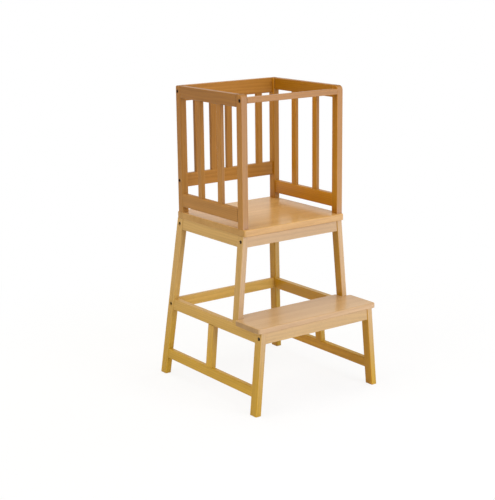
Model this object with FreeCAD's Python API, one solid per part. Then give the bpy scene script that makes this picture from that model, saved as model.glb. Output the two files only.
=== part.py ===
import FreeCAD, Part
import math
import os

# Toddler kitchen helper stool: a two-step wooden stool with a slatted guard cage on its platform.
# +X is the child's right when facing the front, the step side is -Y, +Z is up.
# The origin lies on the floor at the centre of the footprint. All sizes are in millimetres.

# ---- Overall and boards
overall_height = 900.0
platform_height = 518.0
platform_thickness = 20.0
platform_width = 368.0
platform_depth = 352.0
step_height = 259.0
step_thickness = 16.0
step_width = 436.0
step_tongue_depth = 30.0
step_overhang = 3.0
board_corner_radius = 9.0
board_edge_radius = 3.0
notch_corner_radius = 1.5

# ---- Side frames: legs and rails in a plane that leans in towards the top
side_splay = 5.25
rear_splay = 5.6
frame_inset = 1.0
leg_thickness = 19.0
rear_leg_width = 30.0
front_leg_width = 28.0
step_leg_width = 30.0
step_leg_reach = 114.0
strut_width = 28.0
side_rail_thickness = 16.0
mid_rail_height = 33.0
lower_rail_height = 30.0
lower_rail_floor_gap = 52.0
leg_edge_radius = 3.0
rail_edge_radius = 2.5

# ---- Cross members between the side frames
apron_height = 34.0
apron_thickness = 16.0
apron_setback = 3.0
stretcher_height = 32.0
stretcher_thickness = 16.0

# ---- Guard cage
post_setback = 10.0
post_width = 21.0
post_depth = 25.0
post_front_radius = 14.0
post_rear_radius = 5.0
guard_rail_thickness = 17.0
side_top_rail_height = 36.0
side_low_rail_height = 40.0
side_low_rail_gap = 18.0
back_top_rail_height = 46.0
back_low_rail_height = 41.0
back_low_rail_gap = 76.0
bar_height = 16.5
bar_thickness = 18.0
bar_drop = 9.0
slat_width = 21.0
slat_thickness = 12.0
side_slat_count = 2
back_slat_count = 5
guard_edge_radius = 2.5
slat_edge_radius = 2.0
tenon_length = 10.0
tenon_shoulder = 2.0

# ---- Bolts with cross-dowel nuts
bolt_radius = 3.0
bolt_hole_radius = 3.3
bolt_head_radius = 5.0
bolt_head_height = 5.5
bolt_recess_radius = 5.6
bolt_recess_depth = 7.5
socket_across_flats = 5.0
socket_depth = 3.0
nut_radius = 5.0
nut_length = 12.0
nut_from_end = 34.0
bolt_past_nut = 3.0
top_rail_bolt_drop = 17.0

# ---- Glued dowels
dowel_radius = 4.0
dowel_in_leg = 9.0
dowel_in_rail = 17.0
dowel_pitch_share = 0.5
pin_radius = 3.0
pin_in_leg = 11.0
pin_in_rail = 16.0
pin_edge_margin = 6.5

# ---- Wood screws
screw_radius = 2.2
screw_head_radius = 4.2
screw_head_height = 3.0
screw_counterbore = 12.0
screw_bite = 13.0
step_screw_bite = 10.0
apron_screw_x = 95.0
rail_screw_back = 42.0
post_screw_radius = 3.0
post_screw_head_radius = 5.5
post_screw_head_height = 3.5
post_screw_bite = 45.0
post_screw_offset = 4.5

# ---- Clearances
fit_gap = 0.5
hole_run_out = 2.0
overshoot = 30.0

# ---- Heights and places that follow from the sizes above
platform_underside = platform_height - platform_thickness
step_underside = step_height - step_thickness
frame_top_x = platform_width / 2 - frame_inset
splay_slope = math.tan(math.radians(side_splay))
splay_cos = math.cos(math.radians(side_splay))
rear_slope = math.tan(math.radians(rear_splay))
foot_outer_x = frame_top_x + splay_slope * platform_underside

rear_run = platform_depth - post_setback - frame_inset + rear_slope * platform_underside
front_run = step_leg_reach + step_overhang
cage_front_y = -(rear_run - front_run) / 2
cage_depth = platform_depth - 2 * post_setback
cage_back_y = cage_front_y + cage_depth
platform_front_y = cage_front_y - post_setback
platform_back_y = platform_front_y + platform_depth
front_leg_back_y = cage_front_y + front_leg_width
step_leg_front_y = cage_front_y - step_leg_reach
step_leg_back_y = step_leg_front_y + step_leg_width
step_front_y = step_leg_front_y - step_overhang
cage_side_x = platform_width / 2
post_inner_x = cage_side_x - post_width

mid_rail_bottom = step_underside - mid_rail_height
lower_rail_top = lower_rail_floor_gap + lower_rail_height
apron_bottom = platform_underside - apron_height
stretcher_bottom = mid_rail_bottom
step_apron_bottom = step_underside - apron_height
side_low_rail_bottom = platform_height + side_low_rail_gap
back_low_rail_bottom = platform_height + back_low_rail_gap
bar_top = overall_height - bar_drop
dowel_length = dowel_in_leg + dowel_in_rail

X_AXIS = FreeCAD.Vector(1, 0, 0)
Y_AXIS = FreeCAD.Vector(0, 1, 0)
Z_AXIS = FreeCAD.Vector(0, 0, 1)
ORIGIN = FreeCAD.Vector(0, 0, 0)


# ---- Where the leaning faces are
def outer_x(z):
    """Distance from the centre plane to a side frame's outer face at height z."""
    return frame_top_x + splay_slope * (platform_underside - z)


def inner_x(z):
    """Distance from the centre plane to a leg's inner face at height z."""
    return outer_x(z) - leg_thickness / splay_cos


def rear_leg_back(z):
    """The rear legs' back face at height z."""
    return platform_back_y - frame_inset + rear_slope * (platform_underside - z)


def rear_leg_front(z):
    return rear_leg_back(z) - rear_leg_width


# ---- Solids
def box(x0, x1, y0, y1, z0, z1):
    return Part.makeBox(x1 - x0, y1 - y0, z1 - z0, FreeCAD.Vector(x0, y0, z0))


def rod(start, axis, length, radius):
    return Part.makeCylinder(radius, length, FreeCAD.Vector(*start), axis)


def prism(points, along):
    """A closed outline of 3-D points, extruded by a vector."""
    wire = Part.makePolygon([FreeCAD.Vector(*p) for p in points + points[:1]])
    return Part.Face(wire).extrude(along)


def round_long_edges(shape, radius):
    """Rounds the edges that run the length of a leg, rail or slat."""
    longest = max(edge.Length for edge in shape.Edges)
    chosen = [edge for edge in shape.Edges if edge.Length > 0.7 * longest]
    return shape.makeFillet(radius, chosen)


def round_edges(shape, radius, test):
    chosen = [edge for edge in shape.Edges if test(edge.BoundBox)]
    return shape.makeFillet(radius, chosen)


def mirrored(shape):
    return shape.mirror(ORIGIN, X_AXIS)


def trimmed(shape, low, high):
    """What lies between two level planes."""
    reach = foot_outer_x + platform_depth + step_leg_reach
    return shape.common(box(-reach, reach, -reach, reach, low, high))


# ---- Left side frame: drawn upright with its outer face at x = 0, then leaned inwards
def frame_piece(outline, thickness, edge_radius):
    """outline holds (y, height) points; the piece is centred in the legs' thickness."""
    inset = (leg_thickness - thickness) / 2
    points = [(inset, y, z / splay_cos) for y, z in outline]
    piece = round_long_edges(prism(points, X_AXIS * thickness), edge_radius)
    return leaned(piece)


def leaned(piece):
    piece.rotate(ORIGIN, Y_AXIS, side_splay)
    piece.translate(FreeCAD.Vector(-foot_outer_x, 0, 0))
    return piece


def upright_outline(front, back, low, high):
    return [(front, low), (back, low), (back, high), (front, high)]


def rear_leg():
    low, high = -overshoot, platform_underside + overshoot
    outline = [(rear_leg_front(low), low), (rear_leg_back(low), low)]
    outline += [(rear_leg_back(high), high), (rear_leg_front(high), high)]
    return trimmed(frame_piece(outline, leg_thickness, leg_edge_radius), 0, platform_underside)


def front_leg():
    outline = upright_outline(cage_front_y, front_leg_back_y, step_underside - overshoot,
                              platform_underside + overshoot)
    piece = frame_piece(outline, leg_thickness, leg_edge_radius)
    return trimmed(piece, step_underside, platform_underside)


def step_leg():
    outline = upright_outline(step_leg_front_y, step_leg_back_y, -overshoot, step_underside + overshoot)
    return trimmed(frame_piece(outline, leg_thickness, leg_edge_radius), 0, step_underside)


def side_rail(front, low, high, radius):
    """A rail whose rear end follows the rear leg's slanted face."""
    outline = [(front, low), (rear_leg_front(low), low), (rear_leg_front(high), high), (front, high)]
    return frame_piece(outline, side_rail_thickness, radius)


def mid_rail():
    piece = side_rail(step_leg_back_y, mid_rail_bottom, step_underside + leg_thickness, rail_edge_radius)
    return trimmed(piece, 0, step_underside)


def lower_rail():
    return side_rail(step_leg_back_y, lower_rail_floor_gap, lower_rail_top, rail_edge_radius)


def side_apron():
    piece = side_rail(front_leg_back_y, apron_bottom, platform_underside + leg_thickness, rail_edge_radius)
    return trimmed(piece, 0, platform_underside)


def strut_centre_y():
    return (step_leg_back_y + rear_leg_front(lower_rail_top)) / 2


def strut():
    """The short post between the two side rails, cut to the slant of their faces."""
    centre = strut_centre_y()
    outline = upright_outline(centre - strut_width / 2, centre + strut_width / 2,
                              lower_rail_top, mid_rail_bottom)
    return frame_piece(outline, leg_thickness, leg_edge_radius)


def side_frame():
    return {
        "rear_leg": rear_leg(),
        "front_leg": front_leg(),
        "step_leg": step_leg(),
        "mid_rail": mid_rail(),
        "lower_rail": lower_rail(),
        "strut": strut(),
        "side_apron": side_apron(),
    }


# ---- Cross members, whose ends are cut to the lean of the side frames
def cross_member(front, thickness, low, high):
    points = [(-inner_x(low), front, low), (inner_x(low), front, low)]
    points += [(inner_x(high), front, high), (-inner_x(high), front, high)]
    return round_long_edges(prism(points, Y_AXIS * thickness), rail_edge_radius)


def rear_leg_centre(low, high):
    """Where a cross member between two heights is centred in the slanting rear legs."""
    middle = (low + high) / 2
    return (rear_leg_front(middle) + rear_leg_back(middle)) / 2


def cross_members():
    front_apron_y = cage_front_y + apron_setback
    rear_apron_y = rear_leg_centre(apron_bottom, platform_underside) - apron_thickness / 2
    stretcher_top = stretcher_bottom + stretcher_height
    stretcher_y = rear_leg_centre(stretcher_bottom, stretcher_top) - stretcher_thickness / 2
    step_apron_y = step_leg_front_y + apron_setback
    return {
        "front_apron": cross_member(front_apron_y, apron_thickness, apron_bottom, platform_underside),
        "rear_apron": cross_member(rear_apron_y, apron_thickness, apron_bottom, platform_underside),
        "rear_stretcher": cross_member(stretcher_y, stretcher_thickness, stretcher_bottom, stretcher_top),
        "step_apron": cross_member(step_apron_y, apron_thickness, step_apron_bottom, step_underside),
    }


# ---- Boards
def soft_board(board, low, high):
    """Rounds a board's top and bottom rims."""
    board = round_edges(board, board_edge_radius, lambda b: b.ZMin > high - 0.01)
    return round_edges(board, board_edge_radius, lambda b: b.ZMax < low + 0.01)


def platform_board():
    half = platform_width / 2
    board = box(-half, half, platform_front_y, platform_back_y, platform_underside, platform_height)
    board = round_edges(board, board_corner_radius, lambda b: b.ZLength > platform_thickness / 2)
    return soft_board(board, platform_underside, platform_height)


def step_board():
    """Its tongue reaches back between the front legs, and its ends stop in front of them."""
    half = step_width / 2
    tongue = inner_x(step_height) - fit_gap
    notch = cage_front_y - fit_gap
    back = cage_front_y + step_tongue_depth
    points = [(-half, step_front_y), (half, step_front_y), (half, notch), (tongue, notch), (tongue, back)]
    points += [(-tongue, back), (-tongue, notch), (-half, notch)]
    board = prism([(x, y, step_underside) for x, y in points], Z_AXIS * step_thickness)
    upright = step_thickness / 2
    middle = (tongue + half) / 2
    board = round_edges(board, board_corner_radius,
                        lambda b: b.ZLength > upright and max(b.XMax, -b.XMin) > middle)
    board = round_edges(board, notch_corner_radius,
                        lambda b: b.ZLength > upright and max(b.XMax, -b.XMin) < middle)
    return soft_board(board, step_underside, step_height)


# ---- Guard cage
def spread(start, end, width, count):
    """Low ends of count equal pieces with equal gaps between start and end."""
    gap = (end - start - count * width) / (count + 1)
    return [start + gap + i * (gap + width) for i in range(count)]


def post(front, top_front_radius, top_back_radius):
    """A left post; its top corners are rounded front and back."""
    back = front + post_depth
    piece = box(-cage_side_x, -post_inner_x, front, back, platform_height, overall_height)
    piece = round_edges(piece, top_front_radius,
                        lambda b: b.ZMin > overall_height - 0.01 and b.YMax < front + 0.01)
    piece = round_edges(piece, top_back_radius,
                        lambda b: b.ZMin > overall_height - 0.01 and b.YMin > back - 0.01)
    return round_edges(piece, guard_edge_radius,
                       lambda b: b.XLength < 0.01 and b.ZMax > platform_height + 1)


def side_rail_of_cage(low, high):
    front, back = cage_front_y + post_depth, cage_back_y - post_depth
    rail = box(-cage_side_x, guard_rail_thickness - cage_side_x, front, back, low, high)
    return round_long_edges(rail, guard_edge_radius)


def back_rail(low, high):
    rail = box(-post_inner_x, post_inner_x, cage_back_y - guard_rail_thickness, cage_back_y, low, high)
    return round_long_edges(rail, guard_edge_radius)


def front_bar():
    bar = box(-post_inner_x, post_inner_x, cage_front_y, cage_front_y + bar_thickness,
              bar_top - bar_height, bar_top)
    return round_long_edges(bar, guard_edge_radius)


def slat(low, high):
    """A slat along Z, its width along X from 0 and its thickness along Y from 0."""
    body = round_long_edges(box(0, slat_width, 0, slat_thickness, low, high), slat_edge_radius)
    return body.fuse(tenons(low, high)).removeSplitter()


def tenons(low, high):
    """The tongues at a slat's two ends."""
    sides = (tenon_shoulder, slat_width - tenon_shoulder, tenon_shoulder, slat_thickness - tenon_shoulder)
    return box(*sides, low - tenon_length, low).fuse(box(*sides, high, high + tenon_length))


def side_place(shape, y):
    """Turns a slat shape to the left panel, starting at y."""
    shape.rotate(ORIGIN, Z_AXIS, 90)
    x = (guard_rail_thickness + slat_thickness) / 2 - cage_side_x
    shape.translate(FreeCAD.Vector(x, y, 0))
    return shape


def back_place(shape, x):
    y = cage_back_y - (guard_rail_thickness + slat_thickness) / 2
    shape.translate(FreeCAD.Vector(x, y, 0))
    return shape


side_slat_span = (side_low_rail_bottom + side_low_rail_height, overall_height - side_top_rail_height)
back_slat_span = (back_low_rail_bottom + back_low_rail_height, overall_height - back_top_rail_height)
side_slat_starts = spread(cage_front_y + post_depth, cage_back_y - post_depth, slat_width, side_slat_count)
back_slat_starts = spread(-post_inner_x, post_inner_x, slat_width, back_slat_count)


def side_panel():
    pieces = {
        "front_post": post(cage_front_y, post_front_radius, post_rear_radius),
        "rear_post": post(cage_back_y - post_depth, post_rear_radius, post_rear_radius),
        "top_rail": side_rail_of_cage(side_slat_span[1], overall_height),
        "bottom_rail": side_rail_of_cage(side_low_rail_bottom, side_slat_span[0]),
    }
    for i, y in enumerate(side_slat_starts):
        pieces["slat_%d" % (i + 1)] = side_place(slat(*side_slat_span), y)
    return pieces


def back_panel():
    pieces = {
        "back_top_rail": back_rail(back_slat_span[1], overall_height),
        "back_bottom_rail": back_rail(back_low_rail_bottom, back_slat_span[0]),
    }
    for i, x in enumerate(back_slat_starts):
        pieces["back_slat_%d" % (i + 1)] = back_place(slat(*back_slat_span), x)
    return pieces


def slat_mortises():
    holes = [side_place(tenons(*side_slat_span), y) for y in side_slat_starts]
    holes += [mirrored(hole) for hole in holes]
    return holes + [back_place(tenons(*back_slat_span), x) for x in back_slat_starts]


# ---- Bolts, each through a leg or post into a nut across the rail behind it
def bolted_joints():
    """Rows of (outer face, rail end, centre y, bolt height, rail bottom, rail top), on the left.

    The face and the end are distances from the centre plane.
    """
    stretcher_top = stretcher_bottom + stretcher_height
    setback = apron_setback + apron_thickness / 2
    frame_rows = [(rear_leg_centre(apron_bottom, platform_underside), apron_bottom, platform_underside)]
    frame_rows += [(cage_front_y + setback, apron_bottom, platform_underside)]
    frame_rows += [(rear_leg_centre(stretcher_bottom, stretcher_top), stretcher_bottom, stretcher_top)]
    frame_rows += [(step_leg_front_y + setback, step_apron_bottom, step_underside)]
    rows = []
    for y, low, high in frame_rows:
        z = (low + high) / 2
        rows.append((outer_x(z), inner_x(z), y, z, low, high))
    back_y = cage_back_y - guard_rail_thickness / 2
    cage_rows = [(back_y, overall_height - top_rail_bolt_drop, back_slat_span[1], overall_height)]
    cage_rows += [(back_y, back_low_rail_bottom + back_low_rail_height / 2,
                   back_low_rail_bottom, back_slat_span[0])]
    cage_rows += [(cage_front_y + bar_thickness / 2, bar_top - bar_height / 2,
                   bar_top - bar_height, bar_top)]
    return rows + [(cage_side_x, post_inner_x, *row) for row in cage_rows]


def hex_socket(start):
    """The driver socket in a bolt head, opening towards -X."""
    reach = socket_across_flats / math.sqrt(3)
    corners = [math.radians(60 * i) for i in range(6)]
    points = [(start[0], start[1] + reach * math.cos(a), start[2] + reach * math.sin(a)) for a in corners]
    return prism(points, X_AXIS * socket_depth)


def bolt(face, end, y, z, *_):
    seat = bolt_recess_depth - face
    head = rod((seat - bolt_head_height, y, z), X_AXIS, bolt_head_height, bolt_head_radius)
    tip = nut_from_end + nut_radius + bolt_past_nut - end
    shank = rod((seat, y, z), X_AXIS, tip - seat, bolt_radius)
    return head.fuse(shank).cut(hex_socket((seat - bolt_head_height, y, z))).removeSplitter()


def bolt_hole(face, end, y, z, *_):
    seat = bolt_recess_depth - face
    recess = rod((-face - overshoot, y, z), X_AXIS, overshoot + bolt_recess_depth, bolt_recess_radius)
    tip = nut_from_end + nut_radius + bolt_past_nut + hole_run_out - end
    return recess.fuse(rod((seat, y, z), X_AXIS, tip - seat, bolt_hole_radius))


def barrel_nut(face, end, y, z, *_):
    body = rod((nut_from_end - end, y - nut_length / 2, z), Y_AXIS, nut_length, nut_radius)
    return body.cut(rod((nut_from_end - nut_radius - 1 - end, y, z), X_AXIS, 2 * nut_radius + 2, bolt_radius))


def nut_hole(face, end, y, z, *_):
    """Drilled from the rail's back face, so that it doesn't show from the front."""
    return rod((nut_from_end - end, y - nut_length / 2, z), Y_AXIS, nut_length / 2 + overshoot, nut_radius)


# ---- Glued dowels
def rail_end_dowels(x, front, back, low, height):
    """Four dowels along Y: two at each end of a rail. back gives the rear end at a height."""
    pegs = []
    for share in (-dowel_pitch_share / 2, dowel_pitch_share / 2):
        z = low + height * (0.5 + share)
        pegs.append((x, front - dowel_in_leg, z))
        pegs.append((x, back(z) - dowel_in_rail, z))
    return pegs


def frame_dowels():
    """In the left side frame, drawn upright and then leaned like its boards."""
    middle = leg_thickness / 2
    places = rail_end_dowels(middle, step_leg_back_y, rear_leg_front, mid_rail_bottom, mid_rail_height)
    places += rail_end_dowels(middle, step_leg_back_y, rear_leg_front, lower_rail_floor_gap,
                              lower_rail_height)
    places += rail_end_dowels(middle, front_leg_back_y, rear_leg_front, apron_bottom, apron_height)
    pegs = [rod((x, y, z / splay_cos), Y_AXIS, dowel_length, dowel_radius) for x, y, z in places]
    ends = [(strut_centre_y(), lower_rail_top), (strut_centre_y(), mid_rail_bottom)]
    ends += [((cage_front_y + front_leg_back_y) / 2, step_underside)]
    for y, z in ends:
        start = (middle, y, z / splay_cos - dowel_length / 2)
        pegs.append(rod(start, Z_AXIS, dowel_length, dowel_radius))
    return [leaned(peg) for peg in pegs]


def cage_dowels():
    """In the left panel, two at each rail end and one under each post."""
    x = guard_rail_thickness / 2 - cage_side_x
    front, back = cage_front_y + post_depth, cage_back_y - post_depth
    places = rail_end_dowels(x, front, lambda z: back, side_slat_span[1], side_top_rail_height)
    places += rail_end_dowels(x, front, lambda z: back, side_low_rail_bottom, side_low_rail_height)
    pegs = [rod(place, Y_AXIS, dowel_length, dowel_radius) for place in places]
    for y, outward in post_centres_y():
        start = (-post_centre_x(), y - outward * post_screw_offset, platform_height - dowel_length / 2)
        pegs.append(rod(start, Z_AXIS, dowel_length, pin_radius))
    return pegs


def cross_pins():
    """Beside the bolts, on the left: small dowels that stop the cross members from turning."""
    pins = []
    for face, end, y, z, low, high in bolted_joints():
        if high - low < 4 * pin_edge_margin:
            continue
        for pin_z in (low + pin_edge_margin, high - pin_edge_margin):
            end_x = end if face == cage_side_x else inner_x(pin_z)
            pins.append(pin(-end_x, y, pin_z))
    return pins


def pin(end_x, y, z):
    return rod((end_x - pin_in_leg, y, z), X_AXIS, pin_in_leg + pin_in_rail, pin_radius)


# ---- Screws from below
def upward_screw(x, y, seat, top, radius, head_radius, head_height):
    """seat is where the head's upper face bears, top is the point."""
    head = rod((x, y, seat - head_height), Z_AXIS, head_height, head_radius)
    return head.fuse(rod((x, y, seat), Z_AXIS, top - seat, radius)).removeSplitter()


def screw_hole(x, y, seat, top, radius, head_radius, reach):
    recess = rod((x, y, seat - reach), Z_AXIS, reach, head_radius + fit_gap)
    return recess.fuse(rod((x, y, seat), Z_AXIS, top - seat, radius))


def board_screw_places():
    """Rows of (x, y, seat, top) for the screws that hold the two boards down."""
    rows = []
    front_y = cage_front_y + apron_setback + apron_thickness / 2
    rear_y = rear_leg_centre(apron_bottom, platform_underside)
    step_y = step_leg_front_y + apron_setback + apron_thickness / 2
    platform_top = platform_underside + screw_bite
    step_top = step_underside + step_screw_bite
    for x in (-apron_screw_x, apron_screw_x):
        rows.append((x, front_y, apron_bottom + screw_counterbore, platform_top))
        rows.append((x, rear_y, apron_bottom + screw_counterbore, platform_top))
        rows.append((x, step_y, step_apron_bottom + screw_counterbore, step_top))
    rail_x = outer_x(step_underside - mid_rail_height / 2) - leg_thickness / splay_cos / 2
    rail_y = step_leg_back_y + rail_screw_back
    for x in (-rail_x, rail_x):
        rows.append((x, rail_y, mid_rail_bottom + screw_counterbore, step_top))
    return rows


def post_centre_x():
    return (cage_side_x + post_inner_x) / 2


def post_centres_y():
    """Rows of (centre, way out of the cage) of the front and rear posts."""
    return [(cage_front_y + post_depth / 2, -1), (cage_back_y - post_depth / 2, 1)]


def post_screw_places():
    """Up through the platform board into the posts; the heads are sunk in its underside."""
    seat = platform_underside + post_screw_head_height
    top = platform_height + post_screw_bite
    return [(side * post_centre_x(), y + outward * post_screw_offset, seat, top)
            for side in (-1, 1) for y, outward in post_centres_y()]


# ---- The whole stool
def both_sides(shapes):
    return shapes + [mirrored(shape) for shape in shapes]


def fasteners():
    """Groups of like pieces, and the holes that they need."""
    joints = bolted_joints()
    groups = {
        "frame_bolts": both_sides([bolt(*j) for j in joints]),
        "barrel_nuts": both_sides([barrel_nut(*j) for j in joints]),
        "left_frame_dowels": frame_dowels(),
        "right_frame_dowels": [mirrored(peg) for peg in frame_dowels()],
        "cage_dowels": both_sides(cage_dowels()),
        "cross_pins": both_sides(cross_pins()),
        "board_screws": [upward_screw(*row, screw_radius, screw_head_radius, screw_head_height)
                         for row in board_screw_places()],
        "post_screws": [upward_screw(*row, post_screw_radius, post_screw_head_radius,
                                     post_screw_head_height) for row in post_screw_places()],
    }
    holes = both_sides([bolt_hole(*j) for j in joints]) + both_sides([nut_hole(*j) for j in joints])
    for name in ("left_frame_dowels", "right_frame_dowels", "cage_dowels", "cross_pins"):
        holes += groups[name]
    holes += [screw_hole(*row, screw_radius, screw_head_radius, overshoot) for row in board_screw_places()]
    holes += [screw_hole(*row, post_screw_radius, post_screw_head_radius, post_screw_head_height)
              for row in post_screw_places()]
    return groups, holes


def wooden_pieces():
    pieces = {}
    for name, shape in {**side_frame(), **side_panel()}.items():
        pieces["left_" + name] = shape
        pieces["right_" + name] = mirrored(shape)
    pieces.update(cross_members())
    pieces.update(back_panel())
    pieces["front_bar"] = front_bar()
    pieces["platform_board"] = platform_board()
    pieces["step_board"] = step_board()
    return pieces


def drilled(piece, holes):
    """Cuts each hole that reaches into the piece."""
    for hole in holes:
        if piece.BoundBox.intersect(hole.BoundBox):
            piece = piece.cut(hole)
    return piece


def main():
    os.makedirs("parts", exist_ok=True)
    groups, holes = fasteners()
    mortises = slat_mortises()
    for name, piece in wooden_pieces().items():
        cuts = holes if "slat" in name else holes + mortises
        drilled(piece, cuts).exportStep("parts/%s.step" % name)
    for name, solids in groups.items():
        Part.makeCompound(solids).exportStep("parts/%s.step" % name)


main()
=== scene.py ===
import math
import random

import bmesh
import bpy
from mathutils import Euler, Matrix, Vector


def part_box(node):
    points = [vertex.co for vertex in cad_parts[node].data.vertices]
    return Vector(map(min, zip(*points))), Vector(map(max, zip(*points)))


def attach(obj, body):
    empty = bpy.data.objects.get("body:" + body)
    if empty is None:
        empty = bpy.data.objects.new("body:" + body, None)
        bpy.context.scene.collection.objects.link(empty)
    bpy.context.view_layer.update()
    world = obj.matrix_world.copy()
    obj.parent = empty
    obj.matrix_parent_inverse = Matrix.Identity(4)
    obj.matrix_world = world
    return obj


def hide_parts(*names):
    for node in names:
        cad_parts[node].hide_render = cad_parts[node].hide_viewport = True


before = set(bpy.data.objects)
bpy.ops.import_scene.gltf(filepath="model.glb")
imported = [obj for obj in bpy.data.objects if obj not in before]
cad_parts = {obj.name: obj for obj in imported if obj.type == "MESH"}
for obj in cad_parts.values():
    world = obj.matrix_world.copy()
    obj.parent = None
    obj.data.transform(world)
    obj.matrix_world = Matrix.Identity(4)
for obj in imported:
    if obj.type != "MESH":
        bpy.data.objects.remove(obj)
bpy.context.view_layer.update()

# Toddler kitchen helper stool in lacquered light hardwood. Metres, +Z up, step side at -Y.

# ---- Camera: its place, its turn in degrees, and its lens and sensor in millimetres
EYE = Vector((-2.164, -2.882, 1.292))
YAW, PITCH, ROLL = 36.01, -13.80, -0.69
LENS = 88.43
SENSOR = 36.0

# ---- Colours of the wood with painted light, linear: a height on the stool with the late and early wood there, twice
# The frame's change with height is painted sheen, paler and pinker towards the top. On the boards it is
# partly painted light: a sheen on the step, and orange light from the cage on the platform. The cage is
# darker towards its top.
FRAME_WOOD_AND_PAINTED_SHEEN = ((0.05, (0.39, 0.215, 0.012), (0.59, 0.350, 0.030)),
              (0.38, (0.41, 0.243, 0.070), (0.60, 0.375, 0.128)))
CAGE_WOOD = ((0.54, (0.29, 0.126, 0.016), (0.45, 0.211, 0.038)),
             (0.90, (0.25, 0.098, 0.009), (0.41, 0.176, 0.025)))
BOARD_WOOD_AND_PAINTED_LIGHT = ((0.26, (0.45, 0.265, 0.105), (0.61, 0.390, 0.185)),
              (0.50, (0.48, 0.255, 0.065), (0.66, 0.385, 0.125)))
PEG_WOOD = ((0.05, (0.62, 0.440, 0.240), (0.74, 0.570, 0.350)),
            (0.90, (0.62, 0.440, 0.240), (0.74, 0.570, 0.350)))
TONE_SPREAD = 0.05
# Pieces drawn darker or lighter than the rest, by these factors
PIECE_BRIGHTNESS = {"left_top_rail": 0.82, "right_top_rail": 0.86, "back_top_rail": 1.06,
             "right_bottom_rail": 1.14, "right_rear_leg": 0.86, "left_strut": 1.08}

# ---- Painted light: a painted sheen on faces turned forwards and painted bounce light on faces turned inwards; a height with the colour there, twice
PAINTED_SHEEN = ((0.50, (0.58, 0.46, 0.47)), (0.56, (0.53, 0.36, 0.26)))
PAINTED_BOUNCE_TINT = ((0.50, (0.93, 0.77, 0.14)), (0.58, (1.27, 1.22, 0.30)))
SHEEN_SHARE = 0.24
BOARD_SHEEN_SHARE = 0.12
# Where the painted sheen fades, by how far a face is turned forwards, by height and by depth
PAINTED_SHEEN_FACING = (0.5, 0.95)
PAINTED_SHEEN_HEIGHT = (-0.06, 0.26)
PAINTED_SHEEN_DEPTH = (-0.12, 0.05)
# Where the painted bounce light fades, by a face's outward turn times its distance from the middle
PAINTED_BOUNCE_FACING = (-0.12, -0.02)

# ---- Grain: cells per metre across and along the fibres, then detail and roughness if given
LOG_BEND = (7.0, 1.1)
RING_WAVE = (60.0, 6.0)
STREAKS = (48.0, 2.4, 3.0)
FIBRES = (700.0, 14.0, 2.0, 0.6)
PORES = (1700.0, 120.0, 1.0)
STREAK_EDGES = (0.28, 0.72)
PORE_EDGES = (0.62, 0.72)

# ---- Growth rings, glued staves and end grain
RING_WIDTH = 0.0052
LOG_TAPER = 0.015
BEND_DEPTH = 0.045
WAVE_DEPTH = 0.0035
# Over which part of a ring its late wood darkens, and over which part it ends
LATE_WOOD = (0.15, 0.90)
RING_END = (0.93, 1.0)
STAVE_WIDTH = 0.058
GLUE_WIDTH = 0.0004
END_FACING = (0.75, 0.98)
PITH_DISTANCE = (0.05, 0.12)
PITH_OFFSET = 0.03
GRAIN_SEED = 7

# ---- How far each marking lightens or darkens the wood
PLAIN_LIGHT = 0.45
STREAK_SHARE = 0.34
FIBRE_SHARE = 0.55
RING_SHARE = 0.27
STAVE_SHARE = 0.30
GLUE_SHARE = 0.45
END_SHARE = 0.24
PORE_SHARE = 0.20

# ---- Lacquer: weight and roughness of the clear coat, and the relief of the fibres under it
FRAME_COAT = (0.30, 0.30)
BOARD_COAT = (0.50, 0.20)
END_COAT_LOSS = 0.5
COAT_REFRACTION = 1.5
BARE_SHINE = 0.1
WOOD_ROUGHNESS = 0.40
FIBRE_ROUGHNESS = 0.10
END_ROUGHNESS = 0.12
RELIEF = {"Strength": 0.10, "Distance": 0.0004}
FIBRE_RELIEF = 0.5

# ---- Lean of the side frames, and of the rear legs within them, in degrees
SIDE_SPLAY = 5.25
REAR_SPLAY = 5.6

# ---- Steel
BOLT_STEEL = (0.045, 0.040, 0.036)
ZINC = (0.56, 0.55, 0.52)
CLOUDS_PER_METRE = 260.0
CLOUD_DETAIL = 3.0
CLOUD_TONES = (0.8, 1.15)
STEEL_ROUGHNESS = 0.28
CLOUD_ROUGHNESS = 0.16

# ---- Hardware, in millimetres
MM = 0.001
TURNED_SIDES = 32
BOLT_RADIUS = 3.0
BOLT_HEAD_RADIUS = 5.0
BOLT_HEAD_HEIGHT = 5.5
BOLT_HEAD_CHAMFER = 0.2
BOLT_PITCH = 1.0
BOLT_THREAD = 24.0
BOLT_LEAD = 0.6
BOLT_TIP_BREAK = 0.5
SOCKET_FLATS = 5.0
SOCKET_DEPTH = 3.0
NUT_RADIUS = 5.0
NUT_HOLE_RADIUS = 3.05
NUT_SLOT = (1.5, 2.0)
CORNER_BREAK = 0.4
RECESS_ARM = (0.9, 2.0)
RECESS_SPAN = 1.1
BOARD_SCREW = {"radius": 2.2, "head_radius": 4.2, "head_height": 3.0, "pitch": 1.8}
POST_SCREW = {"radius": 3.0, "head_radius": 5.5, "head_height": 3.5, "pitch": 2.6}
POINT_RADIUS = 0.1
# A pan head's profile, in shares of its height and radius
PAN_HEAD = ((0, 0.62), (0.22, 0.84), (0.55, 0.97), (1, 1))
# Root and shank of a screw as shares of its radius, and the neck of its point as one of the root
SCREW_ROOT = 0.68
SCREW_SHANK = 0.9
POINT_NECK = 0.8
# In pitches: a bolt's thread depth, a screw's shank and thread from its head, and the rest from its tip
THREAD_DEPTH = 0.55
SHANK_END = 3
THREAD_START = 3.4
THREAD_END = 2
POINT_START = 1.2
# Degrees between faces that still look like one round face
SMOOTH_ANGLE = 35
# Vertices closer than this many metres are one
WELD_DISTANCE = 1e-6
HARDWARE = ("frame_bolts", "barrel_nuts", "board_screws", "post_screws")

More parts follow.
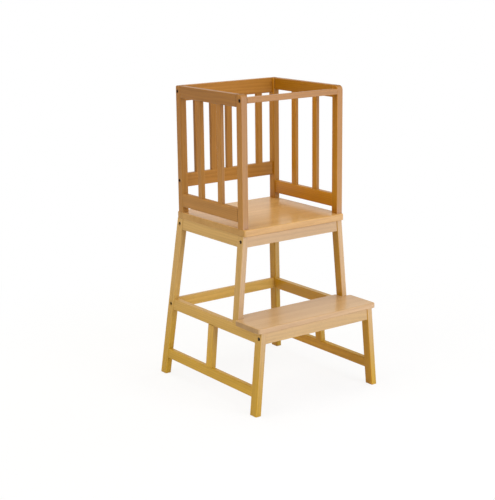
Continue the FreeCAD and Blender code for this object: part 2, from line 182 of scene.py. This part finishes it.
# ---- Studio: each lamp's place, width, power in watts and tint, all aimed at the stool's middle
STOOL_MIDDLE = (0.0, 0.0, 0.45)
LAMP_HEIGHT = 2.0
LAMPS = {
    "front_softbox": ((0.5, -3.3, 1.5), 2.2, 83.0, (0.93, 0.99, 1.18)),
    "top_softbox": ((0.0, -0.3, 3.1), 2.0, 24.0, (1.0, 1.0, 1.0)),
    "left_fill": ((-2.4, 0.1, 2.3), 2.0, 33.0, (1.0, 0.94, 0.80)),
    "rear_fill": ((-0.4, 3.3, 1.5), 2.0, 46.0, (1.0, 0.98, 0.94)),
    "right_fill": ((3.2, 0.4, 1.5), 2.0, 32.0, (1.0, 0.98, 0.94)),
}
SKY_TINT = (1.0, 0.93, 0.78)
SKY_STRENGTH = 0.40
WHITE = (1.0, 1.0, 1.0)
FLOOR_COLOUR = (0.86, 0.86, 0.86)
FLOOR_RADIUS = 9.0
FLOOR_SIDES = 96
FLOOR_HEIGHT = -0.0004
FLOOR_WHITENESS = 0.84
SHADOW_EDGES = (0.45, 1.5)


class Shade:
    """A socket in a node tree, so that shader maths reads as arithmetic."""

    def __init__(self, tree, socket=None):
        self.tree = tree
        self.socket = socket

    def node(self, kind, settings=None, sockets=None, output=0):
        """Adds any node: its settings first, then the values or links of its sockets."""
        made = self.tree.nodes.new("ShaderNode" + kind)
        for name, value in (settings or {}).items():
            setattr(made, name, value)
        for key, value in (sockets or {}).items():
            if isinstance(value, Shade):
                self.tree.links.new(value.socket, made.inputs[key])
            else:
                made.inputs[key].default_value = value
        return Shade(self.tree, made.outputs[output])

    def math(self, operation, *values):
        return self.node("Math", {"operation": operation}, dict(enumerate(values)))

    def __add__(self, other):
        return self.math("ADD", self, other)

    def __sub__(self, other):
        return self.math("SUBTRACT", self, other)

    def __rsub__(self, other):
        return self.math("SUBTRACT", other, self)

    def __mul__(self, other):
        return self.math("MULTIPLY", self, other)

    def __truediv__(self, other):
        return self.math("DIVIDE", self, other)

    def __abs__(self):
        return self.math("ABSOLUTE", self)

    __radd__ = __add__
    __rmul__ = __mul__

    def step(self, start, end):
        """0 before start and 1 after end, with a soft change between."""
        settings = {"interpolation_type": "SMOOTHSTEP"}
        return self.node("MapRange", settings, {"Value": self, "From Min": start, "From Max": end})

    def dot(self, vector):
        return self.node("VectorMath", {"operation": "DOT_PRODUCT"}, {0: self, 1: vector}, "Value")

    def blend(self, first, second, kind="MIX"):
        """A colour between two others, by this factor."""
        settings = {"data_type": "RGBA", "blend_type": kind}
        return self.node("Mix", settings, {0: self, 6: first, 7: second}, 2)

    def dimmed(self, share):
        """This colour, times a factor."""
        return self.node("VectorMath", {"operation": "SCALE"}, {0: self, "Scale": share})


def colour(rgb, tone=1.0):
    return tuple(channel * tone for channel in rgb) + (1.0,)


def new_material(name):
    """A material with a plain shader: returns it, a Shade to build with, and the shader."""
    material = bpy.data.materials.new(name)
    material.use_nodes = True
    shader = material.node_tree.nodes["Principled BSDF"]
    return material, Shade(material.node_tree), shader


def feed(shader, name, value):
    value.tree.links.new(value.socket, shader.inputs[name])


# ---- Wood
class Grain:
    """Where a point lies on the stool, and where it lay in the log its piece was cut from."""

    def __init__(self, build, along, pith):
        self.build = build
        place = build.node("TexCoord", output="Object")
        self.right, self.back, self.height = (place.dot(axis) for axis in Matrix.Identity(3))
        self.facing = build.node("TexCoord", output="Normal")
        side = along.orthogonal().normalized()
        other = along.cross(side)
        self.length = place.dot(along)
        self.across = place.dot(side) - pith.dot(side)
        self.deep = place.dot(other) - pith.dot(other)

    def noise(self, across, along, detail=2.0, roughness=0.5):
        """Noise drawn out along the fibres: cells per metre across and along."""
        sockets = {0: self.across * across, 1: self.deep * across, 2: self.length * along}
        vector = self.build.node("CombineXYZ", sockets=sockets)
        return self.build.node("TexNoise", {"noise_dimensions": "3D"},
                               {"Vector": vector, "Scale": 1.0, "Detail": detail, "Roughness": roughness})


def grain_rings(grain):
    """Growth rings: each darkens slowly towards its late wood, 1 there, and ends at once."""
    squared = grain.across * grain.across + grain.deep * grain.deep
    radius = squared.math("POWER", squared, 0.5)
    wander = (grain.noise(*LOG_BEND) - 0.5) * BEND_DEPTH + (grain.noise(*RING_WAVE) - 0.5) * WAVE_DEPTH
    turns = (radius + grain.length * LOG_TAPER + wander) / RING_WIDTH
    part = turns.math("FRACT", turns)
    return part.step(*LATE_WOOD) - part.step(*RING_END)


def wood(name, along, pith, wood_and_sheen, tone, glued_up):
    """Lacquered hardwood with its fibres along a direction, and darker ends."""
    material, build, shader = new_material(name)
    grain = Grain(build, along, pith)
    fibres = grain.noise(*FIBRES)
    pores = grain.noise(*PORES).step(*PORE_EDGES)
    light = PLAIN_LIGHT + grain.noise(*STREAKS).step(*STREAK_EDGES) * STREAK_SHARE
    light = light + (fibres - 0.5) * FIBRE_SHARE - grain_rings(grain) * RING_SHARE
    if glued_up:
        light = light + (stave_tone(grain) - 0.5) * STAVE_SHARE - glue_line(grain) * GLUE_SHARE
    # Wood colour with painted sheen, changing with height
    late, early = by_height(grain, wood_and_sheen, tone)
    end_face = abs(grain.facing.dot(along)).step(*END_FACING)
    # Painted sheen on the front faces and painted bounce light on the inner faces
    shade = paint_sheen_and_bounce(grain, light.blend(late, early), BOARD_SHEEN_SHARE if glued_up else SHEEN_SHARE)
    feed(shader, "Base Color", shade.dimmed(1.0 - end_face * END_SHARE - pores * PORE_SHARE))
    feed(shader, "Roughness", WOOD_ROUGHNESS + fibres * FIBRE_ROUGHNESS + end_face * END_ROUGHNESS)
    weight, roughness = BOARD_COAT if glued_up else FRAME_COAT
    feed(shader, "Coat Weight", weight - end_face * weight * END_COAT_LOSS)
    shader.inputs["Coat Roughness"].default_value = roughness
    shader.inputs["Coat IOR"].default_value = COAT_REFRACTION
    shader.inputs["Specular IOR Level"].default_value = BARE_SHINE
    relief = fibres * FIBRE_RELIEF - pores
    feed(shader, "Normal", build.node("Bump", sockets={**RELIEF, "Height": relief}))
    return material


def by_height(grain, ends, tone=1.0):
    """Colours that change with height, from two rows of a height and the colours there."""
    (low, *low_colours), (high, *high_colours) = ends
    rise = grain.height.step(low, high)
    return [rise.blend(colour(a, tone), colour(b, tone)) for a, b in zip(low_colours, high_colours)]


def paint_sheen_and_bounce(grain, shade, sheen_share):
    """Painted sheen: faces turned forwards at the front turn paler and pinker. Painted bounce light: faces
    turned inwards turn deeper gold low down and brighter in the cage.
    """
    outward = grain.facing.dot((1.0, 0.0, 0.0)) * grain.right
    # Painted bounce light: faces turned inwards are multiplied by a deeper gold low down and a brighter tint
    # in the cage
    bounce_mask = 1.0 - outward.step(*PAINTED_BOUNCE_FACING)
    shade = bounce_mask.blend(shade, by_height(grain, PAINTED_BOUNCE_TINT)[0], "MULTIPLY")
    # Painted sheen on faces turned forwards, near the front and above the floor
    front = grain.facing.dot((0.0, -1.0, 0.0)).step(*PAINTED_SHEEN_FACING)
    near = 1.0 - grain.back.step(*PAINTED_SHEEN_DEPTH)
    front = front * (near * grain.height.step(*PAINTED_SHEEN_HEIGHT))
    return (front * sheen_share).blend(shade, by_height(grain, PAINTED_SHEEN)[0])


def stave_place(grain):
    """Which glued stave of a board, and how far across it; the staves lie side by side along Y."""
    number = grain.back / STAVE_WIDTH
    return number.math("FLOOR", number), number.math("FRACT", number)


def stave_tone(grain):
    """From 0 to 1, another for each stave."""
    whole, _ = stave_place(grain)
    return grain.build.node("TexWhiteNoise", {"noise_dimensions": "1D"}, {"W": whole}, "Value")


def glue_line(grain):
    """1 on the thin dark line between two staves."""
    _, part = stave_place(grain)
    return abs(part - 0.5).step(0.5 - GLUE_WIDTH / STAVE_WIDTH, 0.5)


def fibre_direction(node):
    """Along a piece's longest side; the legs and struts lean as the side frames do."""
    low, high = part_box(node)
    size = high - low
    if node.endswith(("leg", "strut")):
        inward = 1.0 if high.x < 0 else -1.0
        backward = math.tan(math.radians(REAR_SPLAY)) if "rear" in node else 0.0
        return Vector((inward * math.tan(math.radians(SIDE_SPLAY)), -backward, 1.0)).normalized()
    longest = max(range(3), key=lambda i: size[i])
    return Vector([1.0 if i == longest else 0.0 for i in range(3)])


def dress_wood():
    chance = random.Random(GRAIN_SEED)
    for node in sorted(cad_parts):
        if node in HARDWARE:
            continue
        low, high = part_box(node)
        along = fibre_direction(node)
        side = along.orthogonal().normalized()
        pith = (low + high) / 2 + side * chance.uniform(*PITH_DISTANCE)
        pith = pith + along.cross(side) * chance.uniform(-PITH_OFFSET, PITH_OFFSET)
        tone = (1.0 + chance.uniform(-TONE_SPREAD, TONE_SPREAD)) * PIECE_BRIGHTNESS.get(node, 1.0)
        put_on(node, wood(node + "_wood", along, pith, wood_and_sheen_of(node), tone, "board" in node))


def wood_and_sheen_of(node):
    if "board" in node:
        return BOARD_WOOD_AND_PAINTED_LIGHT
    if "dowels" in node or "pins" in node:
        return PEG_WOOD
    if any(word in node for word in ("post", "top_rail", "bottom_rail", "slat", "front_bar")):
        return CAGE_WOOD
    return FRAME_WOOD_AND_PAINTED_SHEEN


def put_on(node, material):
    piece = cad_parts[node]
    piece.data.materials.clear()
    piece.data.materials.append(material)


# ---- Hardware: bolts, their cross-dowel nuts and the wood screws
def steel(name, tint):
    """Plated steel with a faint cloudiness."""
    material, build, shader = new_material(name)
    place = build.node("TexCoord", output="Object")
    sockets = {"Vector": place, "Scale": CLOUDS_PER_METRE, "Detail": CLOUD_DETAIL}
    cloud = build.node("TexNoise", {"noise_dimensions": "3D"}, sockets)
    dull, bright = CLOUD_TONES
    feed(shader, "Base Color", cloud.blend(colour(tint, dull), colour(tint, bright)))
    feed(shader, "Roughness", STEEL_ROUGHNESS + cloud * CLOUD_ROUGHNESS)
    shader.inputs["Metallic"].default_value = 1.0
    return material


def turned(profile):
    """A turned piece along +Z from rows of (height, radius), the first at height 0."""
    (height, radius), *rest = profile
    bpy.ops.object.select_all(action="DESELECT")
    bpy.ops.mesh.primitive_circle_add(vertices=TURNED_SIDES, radius=radius, fill_type="NGON")
    bpy.ops.object.mode_set(mode="EDIT")
    bpy.ops.mesh.select_all(action="SELECT")
    for next_height, next_radius in rest:
        bpy.ops.mesh.extrude_region_move(TRANSFORM_OT_translate={"value": (0, 0, next_height - height)})
        share = next_radius / radius
        bpy.ops.transform.resize(value=(share, share, 1), center_override=(0, 0, next_height))
        height, radius = next_height, next_radius
    bpy.ops.mesh.select_all(action="SELECT")
    bpy.ops.mesh.normals_make_consistent(inside=False)
    bpy.ops.object.mode_set(mode="OBJECT")
    return bpy.context.object


def ridges(start, end, root, crest, pitch):
    """Profile rows of a thread between two heights."""
    rows = []
    for i in range(int((end - start) / pitch)):
        rows += [(start + i * pitch, root), (start + (i + 0.5) * pitch, crest)]
    return rows + [(end, root)]


def block(size, place, quarter_turns=0):
    bpy.ops.mesh.primitive_cube_add(size=1, location=place, scale=size)
    tool = bpy.context.object
    tool.rotation_euler.z = quarter_turns * math.pi / 2
    return tool


def cut_away(piece, tool):
    cutter = piece.modifiers.new("cut", "BOOLEAN")
    cutter.operation = "DIFFERENCE"
    cutter.object = tool
    bpy.context.view_layer.objects.active = piece
    bpy.ops.object.modifier_apply(modifier=cutter.name)
    bpy.data.objects.remove(tool)


def bolt_model(length):
    """A socket-head bolt, its tip at 0."""
    seat = length - BOLT_HEAD_HEIGHT
    root = BOLT_RADIUS - THREAD_DEPTH * BOLT_PITCH
    profile = [(0, root - BOLT_TIP_BREAK)]
    profile += ridges(BOLT_LEAD, BOLT_THREAD, root, BOLT_RADIUS, BOLT_PITCH)
    profile += [(BOLT_THREAD + BOLT_LEAD, BOLT_RADIUS), (seat, BOLT_RADIUS)]
    profile += [(seat, BOLT_HEAD_RADIUS - BOLT_HEAD_CHAMFER), (seat + BOLT_HEAD_CHAMFER, BOLT_HEAD_RADIUS)]
    profile += [(length - CORNER_BREAK, BOLT_HEAD_RADIUS), (length, BOLT_HEAD_RADIUS - CORNER_BREAK)]
    piece = turned(profile)
    corner = SOCKET_FLATS / math.sqrt(3)
    bpy.ops.mesh.primitive_cylinder_add(vertices=6, radius=corner, depth=2 * SOCKET_DEPTH,
                                        location=(0, 0, length))
    cut_away(piece, bpy.context.object)
    return piece


def nut_model(length):
    """A cross-dowel nut with its bolt hole and, at the top end, a slot to turn it by."""
    broken = NUT_RADIUS - CORNER_BREAK
    profile = [(0, broken), (CORNER_BREAK, NUT_RADIUS), (length - CORNER_BREAK, NUT_RADIUS), (length, broken)]
    piece = turned(profile)
    bpy.ops.mesh.primitive_cylinder_add(vertices=TURNED_SIDES, radius=NUT_HOLE_RADIUS, depth=3 * NUT_RADIUS,
                                        location=(0, 0, length / 2), rotation=(0, math.pi / 2, 0))
    cut_away(piece, bpy.context.object)
    width, depth = NUT_SLOT
    cut_away(piece, block((3 * NUT_RADIUS, width, 2 * depth), (0, 0, length)))
    return piece


def screw_model(length, radius, head_radius, head_height, pitch):
    """A pan-head wood screw with a cross recess, its head at 0 and its point upwards."""
    root = SCREW_ROOT * radius
    shank = SCREW_SHANK * radius
    profile = [(rise * head_height, share * head_radius) for rise, share in PAN_HEAD]
    profile += [(head_height, shank), (head_height + SHANK_END * pitch, shank)]
    profile += ridges(head_height + THREAD_START * pitch, length - THREAD_END * pitch, root, radius, pitch)
    profile += [(length - POINT_START * pitch, POINT_NECK * root), (length, POINT_RADIUS)]
    piece = turned(profile)
    width, depth = RECESS_ARM
    for quarter_turns in (0, 1):
        cut_away(piece, block((RECESS_SPAN * head_radius, width, 2 * depth), (0, 0, 0), quarter_turns))
    return piece


def solids_of(node):
    """Lowest and highest corners of each separate solid of a node."""
    build = bmesh.new()
    build.from_mesh(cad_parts[node].data)
    bmesh.ops.remove_doubles(build, verts=build.verts, dist=WELD_DISTANCE)
    waiting = set(build.verts)
    boxes = []
    while waiting:
        group = [waiting.pop()]
        for vertex in group:
            for edge in vertex.link_edges:
                other = edge.other_vert(vertex)
                if other in waiting:
                    waiting.remove(other)
                    group.append(other)
        spots = [vertex.co for vertex in group]
        boxes.append([Vector([pick(spot[i] for spot in spots) for i in range(3)]) for pick in (min, max)])
    build.free()
    return sorted(boxes, key=lambda box: [round(value, 3) for value in box[0]])


def stand(axis, middle):
    """Turns +Z as a fastener lies: outwards along X, backwards along Y or upwards along Z."""
    if axis == 0:
        return Matrix.Rotation(math.copysign(math.pi / 2, middle.x), 4, "Y")
    if axis == 1:
        return Matrix.Rotation(-math.pi / 2, 4, "X")
    return Matrix.Identity(4)


def fit_group(node, piece_name, axis, slot, material, model, **sizes):
    """Puts a copy of a model at each solid of a node, along the axis that the solids lie on."""
    models = {}
    for number, (low, high) in enumerate(solids_of(node), 1):
        length = round((high - low)[axis] / MM, 2)
        if length not in models:
            models[length] = model(length, **sizes)
        middle = (low + high) / 2
        piece = bpy.data.objects.new("%s_%d" % (piece_name, number), models[length].data.copy())
        bpy.context.scene.collection.objects.link(piece)
        centred = Matrix.Translation((0, 0, -length / 2))
        placed = Matrix.Translation(middle) @ Matrix.Scale(MM, 4) @ stand(axis, middle) @ centred
        piece.data.transform(placed)
        piece.data.materials.append(material)
        shade_by_angle(piece)
        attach(piece, "root")
        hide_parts(node)
    for made in models.values():
        bpy.data.objects.remove(made)


def shade_by_angle(piece):
    bpy.ops.object.select_all(action="DESELECT")
    piece.select_set(True)
    bpy.context.view_layer.objects.active = piece
    bpy.ops.object.shade_smooth_by_angle(angle=math.radians(SMOOTH_ANGLE))


def fit_hardware():
    black = steel("black_steel", BOLT_STEEL)
    zinc = steel("zinc_plate", ZINC)
    fit_group("frame_bolts", "frame_bolt", 0, "bolt_steel", black, bolt_model)
    fit_group("barrel_nuts", "barrel_nut", 1, "nut_steel", zinc, nut_model)
    fit_group("board_screws", "board_screw", 2, "screw_steel", zinc, screw_model, **BOARD_SCREW)
    fit_group("post_screws", "post_screw", 2, "screw_steel", zinc, screw_model, **POST_SCREW)


# ---- Studio
def seen_directly(build):
    """1 for what the camera sees, also in a mirror or through glass; 0 for light that bounces."""
    path = "LightPath"
    seen = build.node(path, output="Is Camera Ray") + build.node(path, output="Is Glossy Ray")
    seen = seen + build.node(path, output="Is Transmission Ray")
    return seen.math("MINIMUM", seen, 1.0)


def floor_material():
    """Pale floor that keeps a faint shadow near the stool and is white further out."""
    material, build, shader = new_material("studio_floor")
    place = build.node("TexCoord", output="Object")
    away = build.node("VectorMath", {"operation": "LENGTH"}, {0: place}, "Value").step(*SHADOW_EDGES)
    share = seen_directly(build) * (FLOOR_WHITENESS + away * (1.0 - FLOOR_WHITENESS))
    matt = build.node("BsdfDiffuse", sockets={"Color": colour(FLOOR_COLOUR)})
    glow = build.node("Emission", sockets={"Color": colour(WHITE), "Strength": 1.0})
    result = build.node("MixShader", sockets={0: share, 1: matt, 2: glow})
    build.tree.links.new(result.socket, build.tree.nodes["Material Output"].inputs["Surface"])
    build.tree.nodes.remove(shader)
    return material


def studio_floor():
    bpy.ops.object.select_all(action="DESELECT")
    bpy.ops.mesh.primitive_circle_add(vertices=FLOOR_SIDES, radius=FLOOR_RADIUS, fill_type="NGON",
                                      location=(0, 0, FLOOR_HEIGHT))
    floor = bpy.context.object
    floor.name = "studio_floor"
    floor.data.materials.append(floor_material())


def studio_sky():
    world = bpy.data.worlds.new("studio")
    bpy.context.scene.world = world
    world.use_nodes = True
    build = Shade(world.node_tree)
    world.node_tree.nodes.remove(world.node_tree.nodes["Background"])
    soft = build.node("Background", sockets={"Color": colour(SKY_TINT), "Strength": SKY_STRENGTH})
    plain = build.node("Background", sockets={"Color": colour(WHITE), "Strength": 1.0})
    result = build.node("MixShader", sockets={0: seen_directly(build), 1: soft, 2: plain})
    world.node_tree.links.new(result.socket, world.node_tree.nodes["World Output"].inputs["Surface"])


def studio_lamps():
    for name, (place, width, power, tint) in LAMPS.items():
        bpy.ops.object.light_add(type="AREA", location=place)
        lamp = bpy.context.object
        lamp.name = name
        lamp.data.shape = "RECTANGLE"
        lamp.data.size = width
        lamp.data.size_y = LAMP_HEIGHT
        lamp.data.energy = power
        lamp.data.color = tint
        lamp.rotation_euler = (Vector(STOOL_MIDDLE) - Vector(place)).to_track_quat("-Z", "Y").to_euler()
        # A fill lights the wood without a glare on the boards.
        lamp.visible_glossy = not name.endswith("fill")


def photo_camera():
    camera = bpy.data.objects.new("photo_camera", bpy.data.cameras.new("photo_camera"))
    bpy.context.scene.collection.objects.link(camera)
    camera.data.lens = LENS
    camera.data.sensor_width = SENSOR
    aim = Euler((math.radians(90 + PITCH), 0, math.radians(-YAW))).to_matrix()
    turn = aim @ Matrix.Rotation(math.radians(ROLL), 3, "Z")
    camera.matrix_world = Matrix.Translation(EYE) @ turn.to_4x4()
    bpy.context.scene.camera = camera


photo_camera()
dress_wood()
fit_hardware()
studio_floor()
studio_sky()
studio_lamps()
bpy.context.scene.view_settings.view_transform = "Standard"
